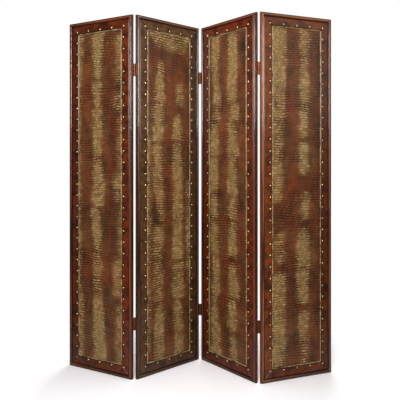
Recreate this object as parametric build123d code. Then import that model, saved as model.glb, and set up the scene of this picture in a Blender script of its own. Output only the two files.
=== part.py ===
from build123d import *
import os
from math import cos, radians, sin, sqrt

# Folding screen of four equal panels, upholstered in faux leather inside a
# mahogany moulding, standing in a zig-zag. Millimetres, +Z up, front towards -Y.

# Panels
panel_height = 1829.0
panel_width = 406.0
panel_depth = 19.0
panel_gap = 5.0

# Direction of each panel in plan, turned from +X, as the screen stands
panel_headings = [-27.4, 40.3, -48.6, 20.2]

# Frame moulding: distances inward from the outer edge, levels back from the crown
moulding_width = 30.0
bead_centre = 11.4
bead_radius = 5.2
fillet_level = 4.0
arris_radius = 1.8
back_chamfer = 1.0

# Upholstery, built up on a core board that lies in the frame's front rebate
board_thickness = 6.0
board_clearance = 0.4
quirk_width = 2.2
border_level = 4.0
border_thickness = 3.0
border_inner_edge = 62.0
border_edge_bevel = 0.8
roll_width = 5.0
roll_height = 4.2
roll_edge_bevel = 1.6
seam_clearance = 0.3
centre_thickness = 4.0
centre_edge_bevel = 2.0
back_cover_thickness = 3.0
back_cover_clearance = 0.5
back_cover_edge_bevel = 1.2

# Domed nails along the border, each dome cut in flats
nail_inset = 52.0
nail_diameter = 11.0
nail_crown_diameter = 5.6
nail_height = 3.2
nail_sides = 6
nails_per_side = 31
nails_per_end = 5

# Butt hinges, two to a fold. The pins of the two near folds stand behind the
# panels, those of the middle fold in front of them.
hinge_height = 64.0
hinge_end_distance = 276.0
pin_behind_back = 4.0
pin_before_crown = 2.0
leaf_thickness = 1.8
leaf_width = 17.0
leaf_corner = 1.5
barrel_radius = 3.6
barrel_clearance = 0.5
barrel_sides = 16
knuckle_count = 5
knuckle_gap = 0.3
pin_radius = 1.7
pin_fit = 0.05

# Levels and lines that follow from the sizes above
rebate_line = bead_centre + bead_radius
border_outer_edge = rebate_line + quirk_width
board_level = border_level + border_thickness
ledge_level = board_level + board_thickness
roll_outer_edge = border_inner_edge + seam_clearance
centre_edge = roll_outer_edge + roll_width + seam_clearance


def moulding_profile():
    # Section of the frame, outer edge at x = 0, crown of the bead at y = 0
    fillet_end = bead_centre - sqrt(bead_radius**2 - (bead_radius - fillet_level) ** 2)
    side_start = (0, fillet_level + arris_radius)
    with BuildSketch() as section:
        with BuildLine():
            Line((arris_radius, fillet_level), (fillet_end, fillet_level))
            ThreePointArc(
                (fillet_end, fillet_level), (bead_centre, 0), (rebate_line, bead_radius)
            )
            Polyline(
                (rebate_line, bead_radius),
                (rebate_line, ledge_level),
                (moulding_width, ledge_level),
                (moulding_width, panel_depth),
                (back_chamfer, panel_depth),
                (0, panel_depth - back_chamfer),
                side_start,
            )
            CenterArc((arris_radius, fillet_level + arris_radius), arris_radius, 180, 90)
        make_face()
    return section.sketch


def strip_profile():
    # Section of a border strip, its front corners eased where the leather turns
    width = border_inner_edge - border_outer_edge
    with BuildSketch() as section:
        with Locations((border_outer_edge, border_level)):
            Rectangle(width, border_thickness, align=(Align.MIN, Align.MIN))
        front_corners = section.vertices().group_by(Axis.Y)[0]
        chamfer(front_corners, border_edge_bevel)
    return section.sketch


def together(shapes):
    # Several separate solids as one node
    return Compound([solid for shape in shapes for solid in shape.solids()])


def mitred(profile, length, inner):
    # A length of the profile, running up from z = 0, with its ends cut at 45
    # degrees so that the inner edge is the shorter one
    with BuildSketch(Plane.XZ) as outline:
        with BuildLine():
            Polyline(
                (0, 0), (0, length), (inner, length - inner), (inner, inner), close=True
            )
        make_face()
    blank = extrude(profile, amount=length)
    prism = extrude(outline.sketch, amount=-panel_depth)
    return blank & prism


def four_sides(profile, inner):
    # The two upright and the two level lengths that close a frame round a panel
    upright = mitred(profile, panel_height, inner)
    level = mitred(profile, panel_width, inner)
    left = upright
    right = Pos(panel_width, 0, panel_height) * Rot(0, 180, 0) * upright
    bottom = Pos(panel_width, 0, 0) * Rot(0, -90, 0) * level
    top = Pos(0, 0, panel_height) * Rot(0, 90, 0) * level
    return left, right, bottom, top


def slab(inset, front, thickness):
    # A plate parallel to the panel, inset on all four sides
    with BuildSketch(Plane.XZ) as outline:
        with Locations((panel_width / 2, panel_height / 2)):
            Rectangle(panel_width - 2 * inset, panel_height - 2 * inset)
    return Pos(0, front, 0) * extrude(outline.sketch, amount=-thickness)


def eased(solid, side, bevel):
    # Bevel the edges of the face that looks towards the given side
    faces = solid.faces().filter_by(Axis.Y).sort_by(Axis.Y)
    face = faces[0] if side == "front" else faces[-1]
    return chamfer(face.edges(), bevel)


def edge_roll():
    # The rolled edge: a ring between border and centre with an eased front
    front = board_level - roll_height
    outer = slab(roll_outer_edge, front, roll_height)
    inner = slab(roll_outer_edge + roll_width, front, roll_height)
    return eased(outer - inner, "front", roll_edge_bevel)


def nail_places():
    # Centres of the nails in the plane of the panel, the corners counted once
    run = panel_height - 2 * nail_inset
    span = panel_width - 2 * nail_inset
    sides = [(x, nail_inset + run * i / (nails_per_side - 1))
             for x in (nail_inset, panel_width - nail_inset)
             for i in range(nails_per_side)]
    ends = [(nail_inset + span * i / (nails_per_end - 1), z)
            for z in (nail_inset, panel_height - nail_inset)
            for i in range(1, nails_per_end - 1)]
    return sides + ends


def nail_head():
    # A domed head, its flat back at the origin, crown towards -Y
    rim = PolarLocations(nail_diameter / 2, nail_sides)
    crown = PolarLocations(nail_crown_diameter / 2, nail_sides)
    corners = [place.position for place in rim]
    corners += [place.position + Vector(0, 0, nail_height) for place in crown]
    return Rot(90, 0, 0) * ConvexPolyhedron(corners)


def barrel(radius, length):
    # A length of the hinge barrel, or of its bore, about the pin axis
    with BuildSketch(Plane.XY.offset(-length / 2)) as ring:
        RegularPolygon(radius, barrel_sides, major_radius=False)
    return extrude(ring.sketch, amount=length)


def leaf(knuckles):
    # Hinge leaf for the panel on the right of a pin that stands behind it: pin
    # axis on Z, leaf against the panel's side face, reaching forwards (-Y)
    inner_face = panel_gap / 2 - leaf_thickness
    pitch = hinge_height / knuckle_count
    knuckle_height = pitch - knuckle_gap
    plate_start = barrel_radius + barrel_clearance
    with BuildSketch(Plane.YZ.offset(inner_face)) as plate:
        with Locations((-(plate_start + leaf_width) / 2, 0)):
            Rectangle(leaf_width - plate_start, hinge_height)
        chamfer(plate.vertices().group_by(Axis.X)[0], leaf_corner)
    part = extrude(plate.sketch, amount=leaf_thickness)
    neck = Pos(inner_face + leaf_thickness / 2, -plate_start / 2, 0) * Box(
        leaf_thickness, plate_start, knuckle_height
    )
    for i in knuckles:
        middle = (i + 0.5) * pitch - hinge_height / 2
        part += Pos(0, 0, middle) * barrel(barrel_radius, knuckle_height)
        part += Pos(0, 0, middle) * neck
    return part - barrel(pin_radius + pin_fit, hinge_height)


# The two hinges of a fold, and where the pin of each fold stands
hinge_levels = {"lower": hinge_end_distance, "upper": panel_height - hinge_end_distance}
pin_lines = ["back", "front", "back"]


def pin_depth(line):
    # How far behind the crown plane the pin of a fold stands
    if line == "back":
        return panel_depth + pin_behind_back
    return -pin_before_crown


def on_right_panel(line, level):
    # Where a hinge part drawn for the right-hand panel goes in that panel's frame
    turn = 0 if line == "back" else 180
    flip = Rot(0, 0, 0) if line == "back" else Rot(0, 180, 0)
    return Pos(-panel_gap / 2, pin_depth(line), level) * Rot(0, 0, turn) * flip


def on_left_panel(line, level):
    # The same part turned end for end, for the panel on the left of the pin
    turn = 0 if line == "back" else 180
    flip = Rot(0, 180, 0) if line == "back" else Rot(0, 0, 0)
    return Pos(panel_width + panel_gap / 2, pin_depth(line), level) * Rot(0, 0, turn) * flip


def panel_pieces(number):
    # Every piece of one panel in its own frame: x along the panel, y from the
    # crown of the moulding backwards, z up
    name = f"panel_{number}_"
    left, right, bottom, top = four_sides(moulding_profile(), moulding_width)
    pieces = {
        name + "stile_left": left,
        name + "stile_right": right,
        name + "rail_bottom": bottom,
        name + "rail_top": top,
    }
    board_inset = rebate_line + board_clearance
    pieces[name + "core_board"] = slab(board_inset, board_level, board_thickness)
    left, right, bottom, top = four_sides(strip_profile(), border_inner_edge)
    pieces[name + "border_sides"] = together([left, right])
    pieces[name + "border_ends"] = together([bottom, top])
    pieces[name + "edge_roll"] = edge_roll()
    centre = slab(centre_edge, board_level - centre_thickness, centre_thickness)
    pieces[name + "centre_pad"] = eased(centre, "front", centre_edge_bevel)
    head = nail_head()
    heads = [Pos(x, border_level, z) * head for x, z in nail_places()]
    pieces[name + "nails"] = together(heads)
    back = slab(moulding_width + back_cover_clearance, ledge_level, back_cover_thickness)
    pieces[name + "back_cover"] = eased(back, "back", back_cover_edge_bevel)
    return pieces


def left_hinge_pieces(fold):
    # What moves with the left-hand panel of a fold: the leaves with the end
    # knuckles, and the pins fixed in them
    line = pin_lines[fold - 1]
    pieces = {}
    for place, level in hinge_levels.items():
        knuckles = range(0, knuckle_count, 2)
        pieces[f"hinge_{fold}_{place}_leaf_left"] = on_left_panel(line, level) * leaf(knuckles)
    pin = Cylinder(pin_radius, hinge_height)
    pins = [on_left_panel(line, level) * pin for level in hinge_levels.values()]
    pieces[f"hinge_{fold}_pins"] = together(pins)
    return pieces


def right_hinge_pieces(fold):
    # What moves with the right-hand panel: the leaves with the knuckles between
    line = pin_lines[fold - 1]
    pieces = {}
    for place, level in hinge_levels.items():
        knuckles = range(1, knuckle_count, 2)
        pieces[f"hinge_{fold}_{place}_leaf_right"] = on_right_panel(line, level) * leaf(knuckles)
    return pieces


def turned(x, y, heading):
    # A step in a panel's own plan directions, as a step in the screen's plan
    a = radians(heading)
    return x * cos(a) - y * sin(a), x * sin(a) + y * cos(a)


def panel_origins():
    # Plan position of each panel's front left corner, worked from pin to pin
    origins = [(0.0, 0.0)]
    pins = []
    for fold, line in enumerate(pin_lines):
        x, y = origins[-1]
        dx, dy = turned(panel_width + panel_gap / 2, pin_depth(line), panel_headings[fold])
        pin = (x + dx, y + dy)
        bx, by = turned(-panel_gap / 2, pin_depth(line), panel_headings[fold + 1])
        origins.append((pin[0] - bx, pin[1] - by))
        pins.append(pin)
    return origins, pins


# Put the pieces together, panel by panel, in the pose of the standing screen
origins, pins = panel_origins()
nodes = {}
for index, heading in enumerate(panel_headings):
    pieces = panel_pieces(index + 1)
    if index < len(pin_lines):
        pieces.update(left_hinge_pieces(index + 1))
    if index > 0:
        pieces.update(right_hinge_pieces(index))
    place = Pos(origins[index][0], origins[index][1], 0) * Rot(0, 0, heading)
    for key, piece in pieces.items():
        nodes[key] = place * piece

# The origin goes to the middle of the screen's footprint, on the floor
corners = [shape.bounding_box() for shape in nodes.values()]
middle_x = (min(b.min.X for b in corners) + max(b.max.X for b in corners)) / 2
middle_y = (min(b.min.Y for b in corners) + max(b.max.Y for b in corners)) / 2
centre = Pos(-middle_x, -middle_y, 0)

os.makedirs("parts", exist_ok=True)
for key, shape in nodes.items():
    export_step(centre * shape, f"parts/{key}.step")

for fold, pin in enumerate(pins, start=1):
    print(f"fold {fold}: pin at x {pin[0] - middle_x:.4f}, y {pin[1] - middle_y:.4f}")
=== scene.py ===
import math

import bpy
import numpy as np
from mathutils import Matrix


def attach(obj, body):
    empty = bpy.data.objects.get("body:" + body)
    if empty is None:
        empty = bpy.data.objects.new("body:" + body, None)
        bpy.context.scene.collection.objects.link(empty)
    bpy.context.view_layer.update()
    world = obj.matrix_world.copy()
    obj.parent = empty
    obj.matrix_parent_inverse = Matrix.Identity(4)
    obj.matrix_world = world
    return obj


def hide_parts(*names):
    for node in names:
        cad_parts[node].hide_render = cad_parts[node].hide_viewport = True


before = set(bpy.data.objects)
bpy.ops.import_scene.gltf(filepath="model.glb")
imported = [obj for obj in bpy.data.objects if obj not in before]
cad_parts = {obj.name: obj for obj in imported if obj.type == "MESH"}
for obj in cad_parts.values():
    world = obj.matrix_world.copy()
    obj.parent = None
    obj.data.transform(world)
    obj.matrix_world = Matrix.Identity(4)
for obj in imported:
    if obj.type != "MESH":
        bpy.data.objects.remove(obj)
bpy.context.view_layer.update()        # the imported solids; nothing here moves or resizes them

mm = 0.001
panelNumbers = (1, 2, 3, 4)
print("frame loaded:", len(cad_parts), "nodes")


# Helpers

def linearColour(hexCode):
    # sRGB hex code to the linear colour that the shader reads
    parts = np.array([int(hexCode[i:i + 2], 16) for i in (1, 3, 5)]) / 255
    linear = np.where(parts <= 0.04045, parts / 12.92, ((parts + 0.055) / 1.055) ** 2.4)
    return (*linear.tolist(), 1.0)


def addNode(tree, kind, settings=None, links=None):
    # One node: settings are its own properties, its sockets' values by name or number, or a ramp's stops
    node = tree.nodes.new(kind)
    for key, value in (settings or {}).items():
        if key == "stops":
            for extra in value[2:]:
                node.color_ramp.elements.new(extra[0])
            for stop, (position, colour) in zip(node.color_ramp.elements, value):
                stop.position = position
                stop.color = linearColour(colour)
        elif isinstance(key, str) and key not in node.inputs:
            setattr(node, key, value)
        else:
            node.inputs[key].default_value = value
    for key, output in (links or {}).items():
        tree.links.new(output, node.inputs[key])
    return node


def startMaterial(name, settings):
    # An empty material with its shader and output
    material = bpy.data.materials.new(name)
    material.use_nodes = True
    tree = material.node_tree
    tree.nodes.clear()
    shader = addNode(tree, "ShaderNodeBsdfPrincipled", settings)
    addNode(tree, "ShaderNodeOutputMaterial", links={"Surface": shader.outputs["BSDF"]})
    return material, tree, shader


def smoothStep(low, high, values):
    # 3t^2 - 2t^3 with t = (values - low) / (high - low), held between 0 and 1
    t = np.clip((values - low) / (high - low), 0, 1)
    return t * t * (3 - 2 * t)


def scatter(column, row, salt):
    # A repeatable number from 0 to 1 for each whole-number cell: the fraction of a large sine
    return np.modf(np.abs(np.sin(column * 12.9898 + row * 78.233 + salt * 37.719) * 43758.5453))[0]


def softNoise(x, y, size, salt):
    # Value noise: scatter() at the corners of square cells of the given size, blended by smoothStep
    column, row = np.floor(x / size), np.floor(y / size)
    right, up = smoothStep(0, 1, x / size - column), smoothStep(0, 1, y / size - row)
    low = scatter(column, row, salt) * (1 - right) + scatter(column + 1, row, salt) * right
    high = scatter(column, row + 1, salt) * (1 - right) + scatter(column + 1, row + 1, salt) * right
    return low * (1 - up) + high * up


def gridFaces(rows, columns, wrapRows=False, wrapColumns=False, start=0):
    # The quads between neighbouring points of a rows x columns grid, numbered row by row from start
    r, c = np.meshgrid(np.arange(rows if wrapRows else rows - 1),
                       np.arange(columns if wrapColumns else columns - 1), indexing="ij")
    nextRow, nextColumn = (r + 1) % rows, (c + 1) % columns
    corners = [r * columns + c, nextRow * columns + c,
               nextRow * columns + nextColumn, r * columns + nextColumn]
    return (start + np.stack(corners, -1).reshape(-1, 4)).tolist()


def gridRim(rows, columns):
    # The numbers of the points round a grid's edge, in order, from its first point
    return np.concatenate([np.arange(columns), np.arange(1, rows) * columns + columns - 1,
                           (rows - 1) * columns + np.arange(columns - 2, -1, -1),
                           np.arange(rows - 2, 0, -1) * columns])


def cushionGrid(low, high, soft, step):
    # A grid over a pad's face whose lines crowd together over the rounded rim: the lines, u and z of the
    # points, the distance to the nearest edge, and the fall of the rim from 1 at the edge to 0 at soft,
    # 1 - sqrt(1 - (1 - edge / soft)^2)
    rim = soft * (1 - np.cos(np.linspace(0, math.pi / 2, 5)[:-1]))
    lines = []
    for a, b in ((low[0], high[0]), (low[2], high[2])):
        inner = np.linspace(a + soft, b - soft, int((b - a - 2 * soft) / step))
        lines.append(np.concatenate([a + rim, inner, b - rim[::-1]]))
    u, z = np.meshgrid(*lines)
    edge = np.minimum(np.minimum(u - low[0], high[0] - u), np.minimum(z - low[2], high[2] - z))
    fall = 1 - np.sqrt(np.clip(1 - (1 - np.clip(edge / soft, 0, 1)) ** 2, 0, 1))
    return lines, u, z, edge, fall


def makePiece(name, points, faces, material, body, stands=(), tones=None, wash=None):
    # A smooth mesh object at the origin from world points and faces, riding on its body. Its tones and wash
    # are point attributes that its material reads
    mesh = bpy.data.meshes.new(name)
    mesh.from_pydata(np.asarray(points).tolist(), [], faces)
    mesh.polygons.foreach_set("use_smooth", np.ones(len(mesh.polygons), bool))
    for layerName, values in (("tones", tones), ("wash", wash)):
        if values is not None:
            layer = mesh.color_attributes.new(layerName, "FLOAT_COLOR", "POINT")
            layer.data.foreach_set("color", np.ascontiguousarray(values, np.float32).ravel())
    mesh.materials.append(material)
    mesh.update()
    piece = bpy.data.objects.new(name, mesh)
    bpy.context.scene.collection.objects.link(piece)
    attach(piece, body)
    if stands:
        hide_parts(*stands)
    return piece


# Where the panels stand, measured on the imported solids

def nodePoints(node):
    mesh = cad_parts[node].data
    points = np.zeros(len(mesh.vertices) * 3)
    mesh.vertices.foreach_get("co", points)
    return points.reshape(-1, 3)


def measurePanel(number):
    # u runs along the panel, w backwards from the crown of the moulding, z up; the core board's
    # eight corners give the direction, the four mouldings give the outer edges
    board = np.unique(np.round(nodePoints(f"panel_{number}_core_board")[:, :2], 5), axis=0)
    along = np.linalg.svd(board - board.mean(0))[2][0]
    along = along * np.sign(along[0])
    back = np.array([-along[1], along[0]])
    frameNodes = ("stile_left", "stile_right", "rail_bottom", "rail_top")
    outer = np.vstack([nodePoints(f"panel_{number}_{part}") for part in frameNodes])
    u, w = outer[:, :2] @ along, outer[:, :2] @ back
    return {"along": along, "back": back, "origin": along * u.min() + back * w.min(),
            "width": np.ptp(u), "depth": np.ptp(w), "height": outer[:, 2].max(),
            "heading": math.atan2(along[1], along[0]), "body": f"panel_{number}"}


def localBox(panel, node):
    # Lowest and highest u, w, z of a node in its panel's own directions
    points = nodePoints(node)
    flat = points[:, :2] - panel["origin"]
    local = np.column_stack([flat @ panel["along"], flat @ panel["back"], points[:, 2]])
    return local.min(0), local.max(0)


def onPanel(panel, u, w, z):
    # Points given by u, w and z, in the object's frame
    u, w, z = np.broadcast_arrays(u, w, z)
    plan = (panel["origin"] + u.reshape(-1, 1) * panel["along"] + w.reshape(-1, 1) * panel["back"])
    return np.column_stack([plan, z.reshape(-1, 1)])


panels = {number: measurePanel(number) for number in panelNumbers}
print("panels measured:", [round(math.degrees(p["heading"]), 1) for p in panels.values()])


# Materials

grainSizes = {
    "poreLength": 60 * mm,      # open pores of mahogany, drawn long enough to show
    "poreWidth": 1.6 * mm,
    "stripeWidth": 14 * mm,     # ribbon figure
    "leatherGrain": 1.8 * mm,   # real grain is about 0.6 mm, drawn coarser to show
}

# The stain differs from panel to panel: darkest, dark, middle, rubbed
woodStains = {
    1: ("#220b05", "#40170a", "#5e2610", "#964a1a"),
    2: ("#24120a", "#3f2212", "#5c361e", "#84532e"),
    3: ("#220b05", "#3c150a", "#5c2610", "#94481a"),
    4: ("#2a1008", "#4a200e", "#6e3618", "#a4602c"),
}
# A few stiles are lighter or darker than the rest of their panel: lighter beside the near folds, darker
# beside the far fold and at the fourth panel's free end
woodLightness = {"panel_1_stile_left": 1.05, "panel_1_stile_right": 1.15, "panel_2_stile_right": 0.6,
                 "panel_3_stile_left": 0.6, "panel_3_stile_right": 1.15, "panel_4_stile_left": 1.9,
                 "panel_4_stile_right": 0.9}
# The border's leather also differs: dark, middle, light, and how light each of its strips is
borderStains = {
    1: ("#2e0d05", "#421607", "#78330e", {"left": 0.85, "right": 1.15, "bottom": 1.0, "top": 1.1}),
    2: ("#39220f", "#4c301b", "#6c482c", {"left": 1.1, "right": 0.7, "bottom": 0.9, "top": 1.15}),
    3: ("#320d04", "#4a1606", "#80320e", {"left": 0.85, "right": 1.1, "bottom": 0.9, "top": 1.1}),
    4: ("#3a170a", "#52210c", "#864216", {"left": 1.25, "right": 0.7, "bottom": 0.85, "top": 1.0}),
}


def panelCoordinates(tree, panel):
    # Object coordinates turned to the panel's own u, w and z
    turned = panel["origin"] @ panel["along"], panel["origin"] @ panel["back"]
    place = addNode(tree, "ShaderNodeTexCoord")
    return addNode(tree, "ShaderNodeMapping", {
        "vector_type": "POINT", "Rotation": (0, 0, -panel["heading"]),
        "Location": (-turned[0], -turned[1], 0)}, {"Vector": place.outputs["Object"]})


def lacqueredMahogany(number, part):
    # Mahogany, red-brown stain under clear lacquer, darkened with depth back from the crown of the bead: the
    # eye gets a wet shine along the bead, long fine pores, and edges where the stain is rubbed back to
    # orange
    panel = panels[number]
    material, tree, shader = startMaterial(f"lacqueredMahogany{number}_{part}", {
        "Roughness": 0.34, "IOR": 1.5, "Coat Weight": 1.0, "Coat Roughness": 0.07})
    local = panelCoordinates(tree, panel)
    across, along = 1 / grainSizes["poreWidth"], 1 / grainSizes["poreLength"]
    stretch = (across, across, along) if part.startswith("stile") else (along, across, across)
    poreSpace = addNode(tree, "ShaderNodeMapping", {"Scale": stretch}, {"Vector": local.outputs[0]})
    pores = addNode(tree, "ShaderNodeTexNoise", {"Scale": 1.0, "Detail": 3.0, "Distortion": 0.3},
                    {"Vector": poreSpace.outputs[0]})
    ratio = grainSizes["poreWidth"] / grainSizes["stripeWidth"]
    stripes = addNode(tree, "ShaderNodeTexNoise", {"Scale": ratio, "Detail": 4.0, "Distortion": 1.2},
                      {"Vector": poreSpace.outputs[0]})
    figure = addNode(tree, "ShaderNodeMapRange", {1: 0.33, 2: 0.68}, {0: stripes.outputs[0]})
    tints = woodStains[number]
    stain = addNode(tree, "ShaderNodeValToRGB", {"stops": [
        (0.0, tints[0]), (1.0, tints[3]), (0.35, tints[1]), (0.7, tints[2])]}, {"Fac": figure.outputs[0]})
    poreDark = addNode(tree, "ShaderNodeMapRange", {1: 0.38, 2: 0.52, 3: 0.45, 4: 1.0},
                       {0: pores.outputs[0]})
    grained = addNode(tree, "ShaderNodeMix", {"data_type": "RGBA", "blend_type": "MULTIPLY", 0: 1.0},
                      {6: stain.outputs[0], 7: poreDark.outputs[0]})
    depth = addNode(tree, "ShaderNodeSeparateXYZ", links={0: local.outputs[0]})
    # darkening with depth: none on the crown, full by 5 mm back in the quirk, eased off again on the sides
    # and back
    darkByDepth = addNode(tree, "ShaderNodeMapRange", {"interpolation_type": "SMOOTHSTEP",
                    1: 1.0 * mm, 2: 5.0 * mm, 3: 0.0, 4: 0.88}, {0: depth.outputs[1]})
    sidesEase = addNode(tree, "ShaderNodeMapRange", {"interpolation_type": "SMOOTHSTEP",
                    1: 7.5 * mm, 2: 10 * mm, 3: 1.0, 4: 0.2}, {0: depth.outputs[1]})
    darkByDepthLeft = addNode(tree, "ShaderNodeMath", {"operation": "MULTIPLY"},
                        {0: darkByDepth.outputs[0], 1: sidesEase.outputs[0]})
    darkenedByDepth = addNode(tree, "ShaderNodeMix", {"data_type": "RGBA", 7: linearColour("#1c0703")},
                     {0: darkByDepthLeft.outputs[0], 6: grained.outputs[2]})
    light = woodLightness.get(f"panel_{number}_{part}", 1.0)
    toned = addNode(tree, "ShaderNodeMix", {"data_type": "RGBA", "blend_type": "MULTIPLY", 0: 1.0,
                    7: (light, light, light, 1)}, {6: darkenedByDepth.outputs[2]})
    tree.links.new(toned.outputs[2], shader.inputs["Base Color"])
    bump = addNode(tree, "ShaderNodeBump", {"Strength": 0.25, "Distance": 0.15 * mm},
                   {"Height": pores.outputs[0]})
    tree.links.new(bump.outputs[0], shader.inputs["Normal"])
    return material


def mottledLeather(name, colours, roughness, coat, mottle, marked=False):
    # Polyurethane faux leather, roller-embossed with a fine hide grain and sponged with a darker stain: the
    # eye gets a soft plastic sheen broken by grain, and cloudy light and dark patches. Where it is marked,
    # the tones attribute holds the strip's own lightness and the painted shade and dirt by its edges, mitres
    # and nails.
    material, tree, shader = startMaterial(name, {
        "Roughness": roughness, "IOR": 1.46, "Coat Weight": coat, "Coat Roughness": 0.2})
    place = addNode(tree, "ShaderNodeTexCoord")
    clouds = addNode(tree, "ShaderNodeTexNoise", {"Scale": 1 / mottle, "Detail": 5.0,
                     "Roughness": 0.62, "Distortion": 0.6}, {"Vector": place.outputs["Object"]})
    spread = addNode(tree, "ShaderNodeMapRange", {1: 0.34, 2: 0.66}, {0: clouds.outputs[0]})
    stain = addNode(tree, "ShaderNodeValToRGB", {"stops": [
        (0.0, colours[0]), (1.0, colours[2]), (0.5, colours[1])]}, {"Fac": spread.outputs[0]})
    grain = addNode(tree, "ShaderNodeTexVoronoi", {"Scale": 1 / grainSizes["leatherGrain"],
                    "feature": "SMOOTH_F1"}, {"Vector": place.outputs["Object"]})
    pits = addNode(tree, "ShaderNodeMapRange", {1: 0.0, 2: 0.7, 3: 1.0, 4: 0.72}, {0: grain.outputs[0]})
    shaded = addNode(tree, "ShaderNodeMix", {"data_type": "RGBA", "blend_type": "MULTIPLY", 0: 1.0},
                     {6: stain.outputs[0], 7: pits.outputs[0]})
    colour = shaded.outputs[2]
    if marked:
        tones = addNode(tree, "ShaderNodeAttribute", {"attribute_name": "tones"})
        parts = addNode(tree, "ShaderNodeSeparateColor", links={0: tones.outputs["Color"]})
        strip = addNode(tree, "ShaderNodeMix", {"data_type": "RGBA", "blend_type": "MULTIPLY", 0: 1.0},
                        {6: colour, 7: parts.outputs[0]})
        # painted shade and dirt: darkened towards #140703 by the edges, mitres and nails
        shadedAndDirty = addNode(tree, "ShaderNodeMix", {"data_type": "RGBA", 7: linearColour("#140703")},
                        {0: parts.outputs[1], 6: strip.outputs[2]})
        colour = shadedAndDirty.outputs[2]
    tree.links.new(colour, shader.inputs["Base Color"])
    bump = addNode(tree, "ShaderNodeBump", {"Strength": 0.35, "Distance": 0.25 * mm, "invert": True},
                   {"Height": grain.outputs[0]})
    tree.links.new(bump.outputs[0], shader.inputs["Normal"])
    return material


def embossedCrocodile():
    # Polyurethane faux leather, plate-embossed as crocodile, stained brown, with gold wax wiped over the
    # scales: the eye gets grooves darkened with painted shade, satin brown plates, and gold that catches on
    # the raised scales.
    # The tones attribute holds gold amount, scale height, which also sets the painted shade in the grooves,
    # and each scale's own tone, and the wash attribute the colour that the stain is tinted with.
    material, tree, shader = startMaterial("embossedCrocodile", {
        "Roughness": 0.40, "IOR": 1.46, "Coat Weight": 0.1, "Coat Roughness": 0.25})
    tones = addNode(tree, "ShaderNodeAttribute", {"attribute_name": "tones"})
    parts = addNode(tree, "ShaderNodeSeparateColor", links={0: tones.outputs["Color"]})
    place = addNode(tree, "ShaderNodeTexCoord")
    stretched = addNode(tree, "ShaderNodeMapping", {"Scale": (1.9, 1.9, 0.75)},
                        {"Vector": place.outputs["Object"]})
    clouds = addNode(tree, "ShaderNodeTexNoise", {"Scale": 1 / (110 * mm), "Detail": 5.0, "Roughness": 0.6},
                     {"Vector": stretched.outputs[0]})
    brown = addNode(tree, "ShaderNodeValToRGB", {"stops": [
        (0.30, "#2a150b"), (0.70, "#723213"), (0.44, "#3e1c0c"), (0.56, "#53240e")]},
        {"Fac": clouds.outputs[0]})
    gold = addNode(tree, "ShaderNodeValToRGB", {"stops": [
        (0.0, "#7e6639"), (1.0, "#b29564"), (0.5, "#987a48")]}, {"Fac": parts.outputs[2]})
    waxed = addNode(tree, "ShaderNodeMix", {"data_type": "RGBA"},
                    {0: parts.outputs[0], 6: brown.outputs[0], 7: gold.outputs[0]})
    # painted shade: the colour darkens towards the grooves between scales, to 0.28 at the bottom
    paintedGrooveShade = addNode(tree, "ShaderNodeMapRange", {1: 0.0, 2: 0.7, 3: 0.28, 4: 1.0}, {0: parts.outputs[1]})
    shaded = addNode(tree, "ShaderNodeMix", {"data_type": "RGBA", "blend_type": "MULTIPLY", 0: 1.0},
                     {6: waxed.outputs[2], 7: paintedGrooveShade.outputs[0]})
    wash = addNode(tree, "ShaderNodeAttribute", {"attribute_name": "wash"})
    washed = addNode(tree, "ShaderNodeMix", {"data_type": "RGBA", "blend_type": "MULTIPLY", 0: 1.0},
                     {6: shaded.outputs[2], 7: wash.outputs["Color"]})
    tree.links.new(washed.outputs[2], shader.inputs["Base Color"])
    grain = addNode(tree, "ShaderNodeTexNoise", {"Scale": 1 / (1.2 * mm), "Detail": 2.0},
                    {"Vector": place.outputs["Object"]})
    bump = addNode(tree, "ShaderNodeBump", {"Strength": 0.3, "Distance": 0.2 * mm},
                   {"Height": grain.outputs[0]})
    tree.links.new(bump.outputs[0], shader.inputs["Normal"])
    return material


def agedBrass():
    # Stamped brass nail heads, plated and relieved: bright on the dome, dark patina caught round the rim.
    # The tones attribute is 0 at the rim and 1 on the crown.
    material, tree, shader = startMaterial("agedBrass", {"Metallic": 1.0, "Roughness": 0.3})
    tones = addNode(tree, "ShaderNodeAttribute", {"attribute_name": "tones"})
    parts = addNode(tree, "ShaderNodeSeparateColor", links={0: tones.outputs["Color"]})
    place = addNode(tree, "ShaderNodeTexCoord")
    spots = addNode(tree, "ShaderNodeTexNoise", {"Scale": 1 / (3 * mm), "Detail": 3.0},
                    {"Vector": place.outputs["Object"]})
    shine = addNode(tree, "ShaderNodeMath", {"operation": "MULTIPLY_ADD", 1: 0.5},
                    {0: spots.outputs[0], 2: parts.outputs[0]})
    colour = addNode(tree, "ShaderNodeValToRGB", {"stops": [
        (0.25, "#24140a"), (0.66, "#ffefc4"), (0.42, "#d8b468")]}, {"Fac": shine.outputs[0]})
    tree.links.new(colour.outputs[0], shader.inputs["Base Color"])
    rough = addNode(tree, "ShaderNodeMapRange", {1: 0.3, 2: 0.7, 3: 0.34, 4: 0.48}, {0: spots.outputs[0]})
    tree.links.new(rough.outputs[0], shader.inputs["Roughness"])
    return material


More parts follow.
